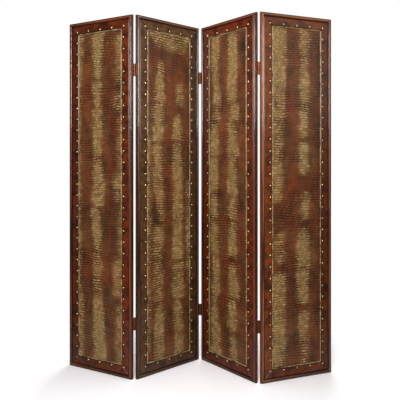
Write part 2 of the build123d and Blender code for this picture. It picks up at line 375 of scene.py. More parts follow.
def antiqueCopper():
    # Pressed steel hinges with an antique copper plate: a warm brushed metal, browned in patches
    material, tree, shader = startMaterial("antiqueCopper", {"Metallic": 1.0, "Roughness": 0.5})
    place = addNode(tree, "ShaderNodeTexCoord")
    patches = addNode(tree, "ShaderNodeTexNoise", {"Scale": 1 / (9 * mm), "Detail": 5.0, "Roughness": 0.65},
                      {"Vector": place.outputs["Object"]})
    colour = addNode(tree, "ShaderNodeValToRGB", {"stops": [
        (0.3, "#5a3420"), (0.75, "#bc8460"), (0.5, "#8c563a")]}, {"Fac": patches.outputs[0]})
    tree.links.new(colour.outputs[0], shader.inputs["Base Color"])
    rough = addNode(tree, "ShaderNodeMapRange", {1: 0.3, 2: 0.7, 3: 0.62, 4: 0.42}, {0: patches.outputs[0]})
    tree.links.new(rough.outputs[0], shader.inputs["Roughness"])
    brushed = addNode(tree, "ShaderNodeMapping", {"Scale": (2500, 2500, 90)},
                      {"Vector": place.outputs["Object"]})
    lines = addNode(tree, "ShaderNodeTexNoise", {"Scale": 1.0, "Detail": 1.0},
                    {"Vector": brushed.outputs[0]})
    bump = addNode(tree, "ShaderNodeBump", {"Strength": 0.15, "Distance": 0.05 * mm},
                   {"Height": lines.outputs[0]})
    tree.links.new(bump.outputs[0], shader.inputs["Normal"])
    return material


def stainedBoard():
    # Hardboard core, brushed with the dark stain where it shows in the groove: dull, fibrous, nearly black
    material, tree, shader = startMaterial("stainedBoard", {"Roughness": 0.8})
    place = addNode(tree, "ShaderNodeTexCoord")
    fibres = addNode(tree, "ShaderNodeTexNoise", {"Scale": 1 / (2 * mm), "Detail": 4.0},
                     {"Vector": place.outputs["Object"]})
    colour = addNode(tree, "ShaderNodeValToRGB", {"stops": [(0.3, "#120805"), (0.7, "#2a150c")]},
                     {"Fac": fibres.outputs[0]})
    tree.links.new(colour.outputs[0], shader.inputs["Base Color"])
    return material


borderLeathers = {number: mottledLeather(f"oiledBorderLeather{number}", borderStains[number][:3],
                                         0.34, 0.25, 45 * mm, marked=True) for number in panelNumbers}
rollLeather = mottledLeather("goldWaxedLeather", ("#3e2c16", "#826a3c", "#dcc68e"), 0.38, 0.15, 34 * mm)
backLeather = mottledLeather("plainBackLeather", ("#36201a", "#40261a", "#4a2e20"), 0.5, 0.0, 120 * mm)
crocodile = embossedCrocodile()
brass = agedBrass()
copper = antiqueCopper()
board = stainedBoard()
print("materials made")

for number in panelNumbers:
    for part in ("stile_left", "stile_right", "rail_bottom", "rail_top", "core_board"):
        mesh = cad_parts[f"panel_{number}_{part}"].data
        mesh.materials.clear()
        mesh.materials.append(board if part == "core_board" else lacqueredMahogany(number, part))
for name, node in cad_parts.items():
    if name.startswith("hinge_"):
        node.data.materials.clear()
        node.data.materials.append(copper)


# Leather border: two long and two short mitred strips, nailed down

border = {
    "swell": 0.6 * mm,         # how far the padding lifts the strip between its edges
    "edgeRound": 2.4 * mm,
    "edgeDrop": 1.6 * mm,
    "nailPull": 0.8 * mm,      # dimple round a nail
    "nailReach": 10 * mm,
    "mitreDip": 0.7 * mm,
    "mitreReach": 3 * mm,
    "waves": 0.3 * mm,
    "waveLength": 42 * mm,
    "thickness": 3 * mm,
    "shadeAndDirtReach": 3 * mm,       # painted shade and dirt in the corners and round the nails
    "step": 3.5 * mm,
}

nails = {
    "inset": 52 * mm,
    "perSide": 31,
    "perEnd": 5,
    "radius": 5.5 * mm,
    "height": 3.2 * mm,
    "sunk": 0.4 * mm,          # the rim lies in the dimple
    "segments": 12,
    "tilt": 4.0,               # degrees, as driven by hand
    "drift": 0.5 * mm,
}


def nailCentres(panel):
    # u and z of the nails: perSide down each long side, perEnd across each end, corners shared
    side = np.linspace(nails["inset"], panel["height"] - nails["inset"], nails["perSide"])
    end = np.linspace(nails["inset"], panel["width"] - nails["inset"], nails["perEnd"])[1:-1]
    left, right = nails["inset"], panel["width"] - nails["inset"]
    low, high = nails["inset"], panel["height"] - nails["inset"]
    u = np.concatenate([np.full_like(side, left), np.full_like(side, right), end, end])
    z = np.concatenate([side, side, np.full_like(end, low), np.full_like(end, high)])
    return u, z


def borderStrip(panel, side, outer, inner, front, strip, salt):
    # One mitred strip. With e the distance from the panel's edge and s from 0 to 1 along the strip, a point
    # lies at e across and at e + (length - 2e) s along. Its front stands at
    # w = front - swell (1 - (2t - 1)^4) + edgeDrop where the edges roll back + nail dimples + mitre dip
    length = panel["height"] if side in ("left", "right") else panel["width"]
    soft = border["edgeRound"]
    across = np.concatenate([[outer, outer, outer + 0.3 * soft, outer + 0.7 * soft],
                             np.linspace(outer + 1.3 * soft, inner - 1.3 * soft, 15),
                             [inner - 0.7 * soft, inner - 0.3 * soft, inner, inner]])
    along = np.linspace(0, 1, int(length / border["step"]))
    e, s = np.meshgrid(across, along)
    run = e + (length - 2 * e) * s
    t = (e - outer) / (inner - outer)
    edge = np.minimum(e - outer, inner - e)
    rounding = border["edgeDrop"] * (1 - smoothStep(0, soft, edge))
    swell = border["swell"] * (1 - (2 * t - 1) ** 4)
    count = nails["perSide"] if side in ("left", "right") else nails["perEnd"]
    pitch = (length - 2 * nails["inset"]) / (count - 1)
    nearest = np.clip(np.round((run - nails["inset"]) / pitch), 0, count - 1) * pitch + nails["inset"]
    fromNail = np.hypot(run - nearest, e - nails["inset"])
    dimple = border["nailPull"] * np.exp(-(fromNail / border["nailReach"]) ** 2)
    toMitre = np.minimum(run - e, length - e - run) / math.sqrt(2)
    dip = border["mitreDip"] * (1 - smoothStep(0, border["mitreReach"], toMitre))
    waves = border["waves"] * (softNoise(run, e, border["waveLength"], salt) - 0.5)
    w = front - swell + rounding + dimple + dip + waves
    w[:, 0] = w[:, -1] = front + border["thickness"] - 0.02 * mm     # both edges turn down to the board
    if side == "left":
        u, z = e, run
    elif side == "right":
        u, z = panel["width"] - e, run
    elif side == "bottom":
        u, z = run, e
    else:
        u, z = run, panel["height"] - e
    points = onPanel(panel, u, w, z)
    rows, columns = e.shape
    faces = gridFaces(rows, columns, wrapColumns=True)
    faces += [list(range(columns)), [(rows - 1) * columns + i for i in range(columns)][::-1]]
    if side in ("left", "top"):
        faces = [face[::-1] for face in faces]
    # painted shade and dirt: a dark ring round each nail for its shadow and dirt, and darkening along the
    # strip's edges and at its mitres
    nailShadowAndDirt = 0.85 * np.exp(-((fromNail - nails["radius"]) / border["shadeAndDirtReach"]) ** 2)
    nailShadowAndDirt = np.where(fromNail < nails["radius"], 0.85, nailShadowAndDirt)
    edgeShadeAndDirt = 0.75 * np.exp(-(edge / border["shadeAndDirtReach"]) ** 2)
    mitreShadeAndDirt = 0.6 * np.exp(-(toMitre / border["shadeAndDirtReach"]) ** 2)
    shadeAndDirt = np.maximum(np.maximum(nailShadowAndDirt, edgeShadeAndDirt), mitreShadeAndDirt)
    tones = np.column_stack([np.full(e.size, strip), shadeAndDirt.ravel(), shadeAndDirt.ravel(), np.ones(e.size)])
    return points, faces, tones


for number, panel in panels.items():
    low, high = localBox(panel, f"panel_{number}_border_sides")
    rollLow, rollHigh = localBox(panel, f"panel_{number}_edge_roll")
    outer, inner, front = low[0], rollLow[0] - 0.3 * mm, low[1]
    for node, sides in (("border_sides", ("left", "right")), ("border_ends", ("bottom", "top"))):
        points, faces, tones = np.zeros((0, 3)), [], np.zeros((0, 4))
        for salt, side in enumerate(sides):
            strip = borderStains[number][3][side]
            more, quads, marks = borderStrip(panel, side, outer, inner, front, strip, 10 * number + salt)
            faces += [[corner + len(points) for corner in quad] for quad in quads]
            points = np.vstack([points, more])
            tones = np.vstack([tones, marks])
        strips = makePiece(f"panel_{number}_{node}_leather", points, faces, borderLeathers[number],
                           panel["body"], [f"panel_{number}_{node}"], tones)
print("border strips made")


# Gold roll between border and centre

roll = {
    "width": 5 * mm,
    "cornerRadius": 7 * mm,
    "step": 4 * mm,
    "pleats": 0.12,            # share of its size by which it swells and shrinks along its length
    "pleatLength": 9 * mm,
}


def roundedRectangle(left, right, low, high, radius, step):
    # Points round a rectangle whose corners are quarter circles, at about equal steps, anticlockwise
    quarter = np.linspace(0, math.pi / 2, 7)
    pieces = []
    for centre, turn in (((right - radius, high - radius), 0), ((left + radius, high - radius), 1),
                         ((left + radius, low + radius), 2), ((right - radius, low + radius), 3)):
        angle = quarter + turn * math.pi / 2
        pieces.append(np.column_stack([centre[0] + radius * np.cos(angle),
                                       centre[1] + radius * np.sin(angle)]))
    ring = np.vstack(pieces)
    gaps = np.hypot(*(np.roll(ring, -1, 0) - ring).T)
    out = [a + (b - a) * np.linspace(0, 1, max(int(gap / step), 1), endpoint=False)[:, None]
           for a, b, gap in zip(ring, np.roll(ring, -1, 0), gaps)]
    return np.vstack(out)


def edgeRoll(panel, low, high):
    # A half-round carried round the centre: the path's inward normal times x and the front direction times
    # y, with (x, y) = (a cos v, b sin v), a and b swelling by 1 + pleats sin(2 pi s / pleatLength)
    half = roll["width"] / 2
    path = roundedRectangle(low[0] + half, high[0] - half, low[2] + half, high[2] - half,
                            roll["cornerRadius"] - half, roll["step"])
    tangent = np.roll(path, -1, 0) - np.roll(path, 1, 0)
    tangent /= np.linalg.norm(tangent, axis=1)[:, None]
    inward = np.column_stack([-tangent[:, 1], tangent[:, 0]])
    travelled = np.concatenate([[0], np.cumsum(np.hypot(*(np.diff(path, axis=0)).T))])
    wobble = softNoise(travelled, travelled * 0, roll["pleatLength"], 3) * 2 - 1
    size = 1 + roll["pleats"] * (0.5 * wobble + 0.5 * np.sin(2 * math.pi * travelled / roll["pleatLength"]))
    angle = np.linspace(0, math.pi, 11)
    x = half * 0.97 * np.cos(angle)
    y = (high[1] - low[1]) * np.sin(angle)
    u = path[:, :1] + inward[:, :1] * x * size[:, None]
    z = path[:, 1:] + inward[:, 1:] * x * size[:, None]
    w = high[1] - 0.05 * mm - y * size[:, None] * 0.97
    faces = gridFaces(*u.shape, wrapRows=True, wrapColumns=True)
    return onPanel(panel, u, w, z), faces


for number, panel in panels.items():
    low, high = localBox(panel, f"panel_{number}_edge_roll")
    points, faces = edgeRoll(panel, low, high)
    makePiece(f"panel_{number}_gold_roll", points, faces, rollLeather, panel["body"],
              [f"panel_{number}_edge_roll"])
print("gold rolls made")


# Domed nails

def domedNails(panel, base, salt):
    # Every nail is the cap (r cos a, r sin a, h sqrt(1 - (r/R)^2)), tipped a few degrees at random and set a
    # little off its place
    rings = np.array([1.0, 0.94, 0.76, 0.44])
    angle = np.linspace(0, 2 * math.pi, nails["segments"], endpoint=False)
    r, a = np.meshgrid(rings * nails["radius"], angle, indexing="ij")
    cap = np.stack([r * np.cos(a), r * np.sin(a),
                    (nails["height"] + nails["sunk"]) * np.sqrt(1 - (r / nails["radius"]) ** 2)], -1)
    cap = np.vstack([cap.reshape(-1, 3), [[0, 0, nails["height"] + nails["sunk"]]]])
    crown = np.concatenate([np.repeat(1 - rings ** 2, nails["segments"]), [1.0]])
    count = len(cap)
    u0, z0 = nailCentres(panel)
    chance = np.random.default_rng(salt)
    tip = np.radians(chance.uniform(-nails["tilt"], nails["tilt"], (2, len(u0), 1)))
    lean = cap[None, :, 2] + cap[None, :, 0] * np.tan(tip[0]) + cap[None, :, 1] * np.tan(tip[1])
    drift = chance.uniform(-1, 1, (2, len(u0), 1)) * nails["drift"]
    u = u0[:, None] + cap[None, :, 0] + drift[0]
    z = z0[:, None] + cap[None, :, 1] + drift[1]
    w = base + nails["sunk"] - lean
    segments = nails["segments"]
    one = gridFaces(len(rings), segments, wrapColumns=True)
    last = (len(rings) - 1) * segments
    one += [[last + i, count - 1, last + (i + 1) % segments] for i in range(segments)]
    one.append(list(range(segments)))
    faces = [[corner + k * count for corner in face] for k in range(len(u0)) for face in one]
    crown = np.tile(crown, len(u0))
    tones = np.column_stack([crown, crown, crown, np.ones_like(crown)])
    return onPanel(panel, u, w, z), faces, tones


for number, panel in panels.items():
    low, high = localBox(panel, f"panel_{number}_nails")
    points, faces, tones = domedNails(panel, high[1], number)
    makePiece(f"panel_{number}_domed_nails", points, faces, brass, panel["body"],
              [f"panel_{number}_nails"], tones)
print("nails made")


# Padded crocodile centres

hide = {
    "step": 2.5 * mm,
    "edgeRound": 3 * mm,
    "plateTall": 12.5 * mm,    # the wide belly plates, row pitch and length
    "plateWide": 27 * mm,
    "pebble": 6.5 * mm,        # the small flank scales
    "plateRelief": 0.6 * mm,
    "pebbleRelief": 0.55 * mm,
    "sideFade": 21 * mm,       # the gold dies away over this much at its sides and ends
    "endFade": 20 * mm,
    "haze": 0.17,              # thin gold rubbed out round each patch
    "hazeReach": 32 * mm,
    "smudgeTall": 24 * mm,     # where one repeat of the hide meets the next
    "smudgeWide": 48 * mm,
    "veil": 0.05,              # gold left on the crests all over
}

# Where gold was wiped on each hide, in mm: top and bottom, measured down from the top of the panel, then
# the left and right edge at that top, the left and right edge at that bottom, and how much gold there is
goldPatches = {
    1: [(60, 305, 162, 226, 176, 206, 1.0), (320, 450, 158, 216, 180, 200, 0.9),
        (462, 715, 166, 212, 170, 208, 1.0), (715, 845, 172, 206, 165, 228, 0.9),
        (845, 965, 165, 242, 158, 226, 0.6), (985, 1190, 150, 196, 178, 214, 0.85),
        (1200, 1405, 165, 216, 170, 210, 0.6), (1425, 1770, 172, 216, 170, 242, 1.0),
        (60, 305, 58, 92, 58, 84, 0.65), (300, 1440, 58, 78, 58, 78, 0.5),
        (1430, 1770, 58, 96, 58, 94, 0.7),
        (90, 340, 306, 346, 310, 346, 0.3), (380, 480, 294, 346, 300, 346, 0.33),
        (500, 780, 320, 346, 318, 346, 0.25), (800, 950, 290, 346, 300, 346, 0.38),
        (960, 1220, 320, 346, 318, 346, 0.25), (1230, 1420, 292, 346, 298, 346, 0.34),
        (1470, 1770, 308, 346, 308, 346, 0.3)],
    2: [(50, 150, 50, 356, 120, 300, 0.36), (222, 434, 140, 154, 102, 162, 1.0),
        (432, 634, 108, 152, 98, 156, 0.9), (638, 842, 105, 142, 98, 152, 0.9),
        (842, 1058, 98, 152, 146, 156, 0.8), (1058, 1455, 100, 156, 100, 156, 0.4),
        (1472, 1648, 124, 148, 106, 160, 0.9), (1648, 1770, 112, 158, 108, 162, 0.9),
        (320, 438, 252, 284, 246, 288, 0.6), (484, 632, 242, 262, 222, 284, 1.0),
        (636, 842, 232, 268, 228, 278, 0.95), (840, 1052, 240, 272, 230, 290, 0.9),
        (1050, 1258, 232, 276, 220, 294, 0.75), (1264, 1458, 225, 286, 225, 292, 0.75),
        (1476, 1644, 244, 270, 230, 290, 0.9), (1642, 1770, 245, 280, 236, 292, 0.95),
        (600, 1700, 58, 80, 58, 76, 0.4), (840, 1380, 318, 346, 320, 346, 0.6)],
    3: [(60, 332, 94, 142, 100, 138, 1.0), (332, 452, 112, 148, 106, 150, 0.75),
        (456, 527, 105, 140, 94, 154, 0.9), (530, 702, 94, 128, 80, 132, 1.0),
        (702, 907, 80, 126, 74, 132, 1.0), (908, 1037, 92, 126, 80, 134, 0.8),
        (1046, 1228, 92, 130, 80, 138, 0.95), (1236, 1447, 106, 136, 96, 144, 0.95),
        (1448, 1606, 100, 130, 90, 138, 0.9), (1606, 1770, 98, 146, 84, 166, 0.9),
        (60, 434, 220, 268, 216, 274, 1.0), (436, 524, 240, 282, 226, 294, 0.75),
        (535, 707, 220, 256, 214, 292, 1.0), (714, 907, 224, 262, 216, 274, 1.0),
        (916, 1037, 228, 262, 220, 274, 0.7), (1046, 1224, 230, 262, 220, 274, 0.9),
        (1262, 1440, 228, 256, 222, 294, 0.9), (1446, 1607, 228, 262, 220, 274, 0.9),
        (1632, 1770, 240, 270, 230, 284, 0.9), (60, 1770, 58, 68, 58, 68, 0.4)],
    4: [(60, 405, 60, 132, 62, 128, 1.0), (385, 460, 76, 130, 76, 128, 0.8),
        (455, 525, 64, 130, 64, 124, 0.8), (520, 935, 60, 118, 60, 112, 0.45),
        (1095, 1238, 74, 126, 74, 126, 0.45), (1295, 1412, 64, 132, 64, 130, 0.9),
        (1412, 1770, 60, 128, 60, 126, 0.75), (60, 207, 220, 264, 226, 260, 1.0),
        (200, 457, 228, 264, 226, 264, 0.9), (448, 612, 220, 260, 220, 258, 0.7),
        (640, 798, 214, 266, 218, 264, 0.6), (895, 1028, 232, 267, 228, 264, 0.75),
        (1082, 1278, 206, 264, 204, 270, 0.9), (1282, 1448, 205, 262, 210, 256, 1.0),
        (1500, 1658, 216, 262, 220, 258, 0.8), (1652, 1770, 230, 260, 230, 260, 0.5)],
}


# Red and olive stains brushed on by hand, in mm: middle across and down from the top, reach across and
# down, then the colour it turns and how strongly
handWashes = {
    1: [(120, 1130, 60, 90, "olive", 0.5), (250, 620, 50, 120, "red", 0.3)],
    2: [(200, 880, 40, 120, "red", 0.45), (250, 150, 90, 70, "olive", 0.5)],
    3: [(180, 520, 30, 260, "red", 0.35), (190, 1330, 34, 160, "red", 0.35)],
    4: [(164, 480, 12, 50, "red", 0.8), (172, 850, 16, 70, "red", 1.0), (286, 900, 16, 100, "red", 0.7),
        (243, 420, 22, 70, "olive", 0.6), (243, 640, 22, 70, "olive", 0.9),
        (247, 860, 16, 45, "olive", 0.5)],
}
washTints = {"red": (1.3, 0.9, 0.72), "olive": (0.84, 1.0, 0.84)}


def washColour(number, x, y):
    # 1 + strength (tint - 1) exp(-(x / reach across)^2 - (y / reach down)^2) for each wash, multiplied
    colour = np.ones((x.size, 4))
    for across, down, reachX, reachY, tint, strength in handWashes[number]:
        weight = strength * np.exp(-((x - across * mm) / (reachX * mm)) ** 2
                                   - ((y - down * mm) / (reachY * mm)) ** 2)
        colour[:, :3] *= 1 + weight.reshape(-1, 1) * (np.array(washTints[tint]) - 1)
    return colour


def goldAmount(number, x, y):
    # How much gold lies at x from the left and y down, in metres: each patch is 1 between its slanting
    # edges and falls off over sideFade and endFade, and the strongest patch wins. A thin haze lies round
    # it, exp(-(distance from its middle / reach)^2), and a dark smudge of the same kind at its top
    amount, haze, smudge = np.zeros_like(x), np.zeros_like(x), np.zeros_like(x)
    x = x + (softNoise(x, y, 40 * mm, number) - 0.5) * 10 * mm
    y = y + (softNoise(x, y, 30 * mm, number + 20) - 0.5) * 16 * mm
    for top, bottom, left0, right0, left1, right1, strength in goldPatches[number]:
        q = np.clip((y - top * mm) / ((bottom - top) * mm), 0, 1)
        left, right = (left0 + (left1 - left0) * q) * mm, (right0 + (right1 - right0) * q) * mm
        side = smoothStep(-1, 1, (x - left) / hide["sideFade"])
        side = side * smoothStep(-1, 1, (right - x) / hide["sideFade"])
        ends = smoothStep(-1, 1, (y - top * mm) / hide["endFade"])
        ends = ends * smoothStep(-1, 1, (bottom * mm - y) / hide["endFade"])
        amount = np.maximum(amount, strength * side * ends)
        middle, spread = (left + right) / 2, (right - left) / 2 + hide["hazeReach"]
        along = smoothStep(-1, 1, (y - top * mm) / hide["hazeReach"])
        along = along * smoothStep(-1, 1, (bottom * mm - y) / hide["hazeReach"])
        haze = np.maximum(haze, strength * along * np.exp(-((x - middle) / spread) ** 2))
        offTop = (y - top * mm) / hide["smudgeTall"]
        offMiddle = (x - (left0 + right0) / 2 * mm) / hide["smudgeWide"]
        smudge = np.maximum(smudge, strength * np.exp(-offTop ** 2 - offMiddle ** 2))
    return amount, haze, smudge


def bellyPlates(x, y, salt):
    # Rows of wide plates. With f the fraction across a row or a plate, the height is the product of
    # smoothStep(f) smoothStep(1 - f) both ways; rows wander up and down, plates shift from row to row
    wander = (softNoise(x, y, 110 * mm, salt) - 0.5) * 1.6
    wander = wander + (softNoise(x, y, 35 * mm, salt + 5) - 0.5) * 0.4
    rowPlace = y / hide["plateTall"] + wander
    row = np.floor(rowPlace)
    f = rowPlace - row
    shift = scatter(row, row * 0, salt) + 0.2 * (softNoise(x, y, 25 * mm, salt + 1) - 0.5)
    platePlace = x / hide["plateWide"] + shift
    g = platePlace - np.floor(platePlace)
    tall = smoothStep(-0.05, 0.36, f) * smoothStep(-0.05, 0.36, 1 - f)
    wide = smoothStep(0, 0.14, g) * smoothStep(0, 0.14, 1 - g)
    return tall * (0.35 + 0.65 * wide), scatter(np.floor(platePlace), row, salt + 2)


def flankScales(x, y, pitch, salt):
    # Rounded scales: every cell of a staggered lattice holds one centre moved at random; with d1 and d2 the
    # distances to the nearest and the next centre, in pitches, the height is smoothStep(d2 - d1)
    nearest, second, shade = np.full(x.shape, 9.0), np.full(x.shape, 9.0), np.zeros(x.shape)
    for up in (-1, 0, 1):
        row = np.floor(y / pitch) + up
        across = x / pitch + 0.5 * (row % 2)
        for right in (-1, 0, 1):
            column = np.floor(across) + right
            centreX = column + 0.5 + 0.7 * (scatter(column, row, salt) - 0.5)
            centreY = row + 0.5 + 0.7 * (scatter(column, row, salt + 1) - 0.5)
            distance = np.hypot(across - centreX, y / pitch - centreY)
            closer = distance < nearest
            second = np.where(closer, nearest, np.minimum(second, distance))
            shade = np.where(closer, scatter(column, row, salt + 2), shade)
            nearest = np.where(closer, distance, nearest)
    return smoothStep(0.02, 0.34, second - nearest), shade


stuffing = {
    "cell": 16 * mm,           # cloth grid
    "start": 0.7 * mm,         # how far the skin starts behind its finished face
    "pressure": 4.0,
    "stretch": -0.004,         # the leather is cut this much larger than the board
    "foam": 4 * mm,
    "lumps": 0.4 * mm,         # how unevenly the foam lies, and over what length
    "lumpLength": 90 * mm,
    "cap": 2.2 * mm,           # no point swells further
    "frames": 20,
}


def stuffedSkin(panel, low, high, salt):
    # Cloth simulation of the skin over its thin foam: a closed slab of small cells, held round the edge and
    # at the back, blown up by pressure. Returns the swell towards the front on the cloth's own grid
    uLine = np.linspace(low[0], high[0], int((high[0] - low[0]) / stuffing["cell"]))
    zLine = np.linspace(low[2], high[2], int((high[2] - low[2]) / stuffing["cell"]))
    u, z = np.meshgrid(uLine, zLine)
    rows, columns = u.shape
    edge = np.zeros(u.shape, bool)
    edge[0], edge[-1], edge[:, 0], edge[:, -1] = True, True, True, True
    front = (softNoise(u, z, stuffing["lumpLength"], salt) - 0.5) * stuffing["lumps"] * ~edge
    back = np.full(u.shape, stuffing["foam"])
    points = np.vstack([np.column_stack([u.ravel(), side.ravel(), z.ravel()]) for side in (front, back)])
    faces = [face[::-1] for face in gridFaces(rows, columns)] + gridFaces(rows, columns, start=u.size)
    rim = gridRim(rows, columns)
    following = np.roll(rim, -1)
    faces += np.column_stack([rim, rim + u.size, following + u.size, following]).tolist()
    mesh = bpy.data.meshes.new("skin")
    mesh.from_pydata(points.tolist(), [], faces)
    skin = bpy.data.objects.new("skin", mesh)
    bpy.context.scene.collection.objects.link(skin)
    held = skin.vertex_groups.new(name="held")
    held.add(np.flatnonzero(np.concatenate([edge.ravel(), np.ones(u.size, bool)])).tolist(), 1.0, "REPLACE")
    cloth = skin.modifiers.new("cloth", "CLOTH")
    cloth.settings.quality = 6
    cloth.settings.mass = 0.4
    cloth.settings.tension_stiffness = cloth.settings.compression_stiffness = 25
    cloth.settings.shear_stiffness = 10
    cloth.settings.bending_stiffness = 3
    cloth.settings.use_pressure = True
    cloth.settings.uniform_pressure_force = stuffing["pressure"]
    cloth.settings.shrink_min = stuffing["stretch"]
    cloth.settings.vertex_group_mass = "held"
    cloth.settings.effector_weights.gravity = 0
    cloth.point_cache.frame_end = stuffing["frames"]
    for step in range(1, stuffing["frames"] + 1):
        bpy.context.scene.frame_set(step)
    settled = skin.evaluated_get(bpy.context.evaluated_depsgraph_get()).data
    places = np.zeros(len(settled.vertices) * 3)
    settled.vertices.foreach_get("co", places)
    swell = -places.reshape(-1, 3)[:u.size, 1].reshape(u.shape)
    bpy.data.objects.remove(skin)
    bpy.context.scene.frame_set(1)
    return uLine, zLine, np.clip(swell, 0, stuffing["cap"])


def blendingRows(coarse, fine):
    # Weights that carry values at the coarse places to the fine ones, Catmull-Rom style: each row holds the
    # four weights of a cubic through the neighbouring coarse values
    place = np.clip((fine - coarse[0]) / (coarse[1] - coarse[0]), 0, len(coarse) - 1.000001)
    cell = np.floor(place).astype(int)
    t = place - cell
    weights = np.zeros((len(fine), len(coarse)))
    cubic = [-0.5 * t + t ** 2 - 0.5 * t ** 3, 1 - 2.5 * t ** 2 + 1.5 * t ** 3,
             0.5 * t + 2 * t ** 2 - 1.5 * t ** 3, -0.5 * t ** 2 + 0.5 * t ** 3]
    for offset, share in zip((-1, 0, 1, 2), cubic):
        np.add.at(weights, (np.arange(len(fine)), np.clip(cell + offset, 0, len(coarse) - 1)), share)
    return weights


def crocodilePad(number, panel, low, high):
    # The pad's front at w = face - swell - relief, its rim a quarter ellipse down to the board, closed by
    # one flat face behind
    soft = hide["edgeRound"]
    lines, u, z, edge, fall = cushionGrid(low, high, soft, hide["step"])
    down = panel["height"] - z
    gold, haze, smudge = goldAmount(number, u, down)
    smudge = 0.8 * smudge * softNoise(u, down, 40 * mm, number + 90)
    plates, plateShade = bellyPlates(u, down, number * 7)
    pebbles, pebbleShade = flankScales(u, down, hide["pebble"], number * 5)
    share = smoothStep(0.6, 0.95, gold + 0.3 * (softNoise(u, down, 20 * mm, number + 30) - 0.5))
    height = plates * (1 - share) + pebbles * share
    shade = plateShade * (1 - share) + pebbleShade * share
    depth = 0.5 + 0.5 * smoothStep(0.25, 0.75, softNoise(u, down, 65 * mm, number + 70))
    height = 1 - (1 - height) * (depth * (1 - share) + share)
    relief = (hide["plateRelief"] * (1 - share) + hide["pebbleRelief"] * share) * height
    cloudy = softNoise(u, down, 75 * mm, number + 40) * 0.6 + softNoise(u, down, 28 * mm, number + 50) * 0.4
    wax = gold * (0.75 + 0.3 * cloudy) + hide["haze"] * haze * (1 - gold) * (0.3 + 1.2 * cloudy)
    wax = (wax + hide["veil"] * cloudy * 2 * (1 - gold)) * (1 - 0.7 * smudge)
    rungs = 4 * gold * (1 - gold)
    crest = (0.16 + 1.25 * rungs ** 2 + 0.15 * gold) * (height - 0.62)
    wax = np.clip(wax + crest + 0.14 * gold * (shade - 0.5), 0, 1)
    coarseU, coarseZ, swell = stuffedSkin(panel, low, high, number + 60)
    swell = blendingRows(coarseZ, lines[1]) @ swell @ blendingRows(coarseU, lines[0]).T
    w = low[1] + stuffing["start"] - swell - relief * smoothStep(0, soft, edge)
    w = w + (high[1] - 0.03 * mm - w) * fall
    faces = [face[::-1] for face in gridFaces(*u.shape)]
    faces.append(gridRim(*u.shape)[::-1].tolist())
    # the smudge lowers the height that the colour reads, which deepens the painted shade in the grooves
    height = height * (1 - 0.5 * smudge)
    tones = np.column_stack([wax.ravel(), height.ravel(), shade.ravel(), np.ones(u.size)])
    return onPanel(panel, u, w, z), faces, tones, washColour(number, u, down), swell.max()


for number, panel in panels.items():
    low, high = localBox(panel, f"panel_{number}_centre_pad")
    points, faces, tones, wash, swollen = crocodilePad(number, panel, low, high)
    pad = makePiece(f"panel_{number}_crocodile_pad", points, faces, crocodile, panel["body"],
                    [f"panel_{number}_centre_pad"], tones, wash)
    print("crocodile pad", number, "made, swollen by up to", round(swollen / mm, 2), "mm")


# Plain leather on the backs

backPad = {
    "step": 9 * mm,
    "swell": 1.2 * mm,
    "edgeRound": 3 * mm,
    "rise": 12 * mm,           # the swell comes in over this much from the edge
    "ripple": 0.5 * mm,
    "rippleLength": 130 * mm,
    "below": 0.6 * mm,         # its face starts this far inside the solid's
}


def backCover(panel, low, high, salt):
    # A stretched sheet over the back of the board: w = face + swell (1 - (2t - 1)^6) both ways, its rim a
    # quarter ellipse back to the board
    _, u, z, edge, fall = cushionGrid(low, high, backPad["edgeRound"], backPad["step"])
    s, t = (u - low[0]) / (high[0] - low[0]), (z - low[2]) / (high[2] - low[2])
    swell = backPad["swell"] * (1 - (2 * s - 1) ** 6) * (1 - (2 * t - 1) ** 12)
    swell = swell + (softNoise(u, z, backPad["rippleLength"], salt) - 0.5) * backPad["ripple"]
    w = high[1] - backPad["below"] + swell * smoothStep(0, backPad["rise"], edge)
    w = w + (low[1] + 0.03 * mm - w) * fall
    return onPanel(panel, u, w, z), gridFaces(*u.shape) + [gridRim(*u.shape).tolist()]


for number, panel in panels.items():
    low, high = localBox(panel, f"panel_{number}_back_cover")
    points, faces = backCover(panel, low, high, number + 80)
    cover = makePiece(f"panel_{number}_back_leather", points, faces, backLeather, panel["body"],
                      [f"panel_{number}_back_cover"])
print("back covers made")


# Hinge screws

screws = {
    "radius": 2.9 * mm,
    "dome": 0.55 * mm,
    "slotWidth": 0.7 * mm,
    "slotDepth": 0.5 * mm,
    "spacing": 22 * mm,        # up and down from the middle of the leaf
    "fromPin": 11.2 * mm,
    "stagger": 1.2 * mm,
    "segments": 24,
    "plate": 1.8 * mm,         # thickness of the leaf they hold
    "barrel": 3.6 * mm,        # radius of the hinge's barrel
}


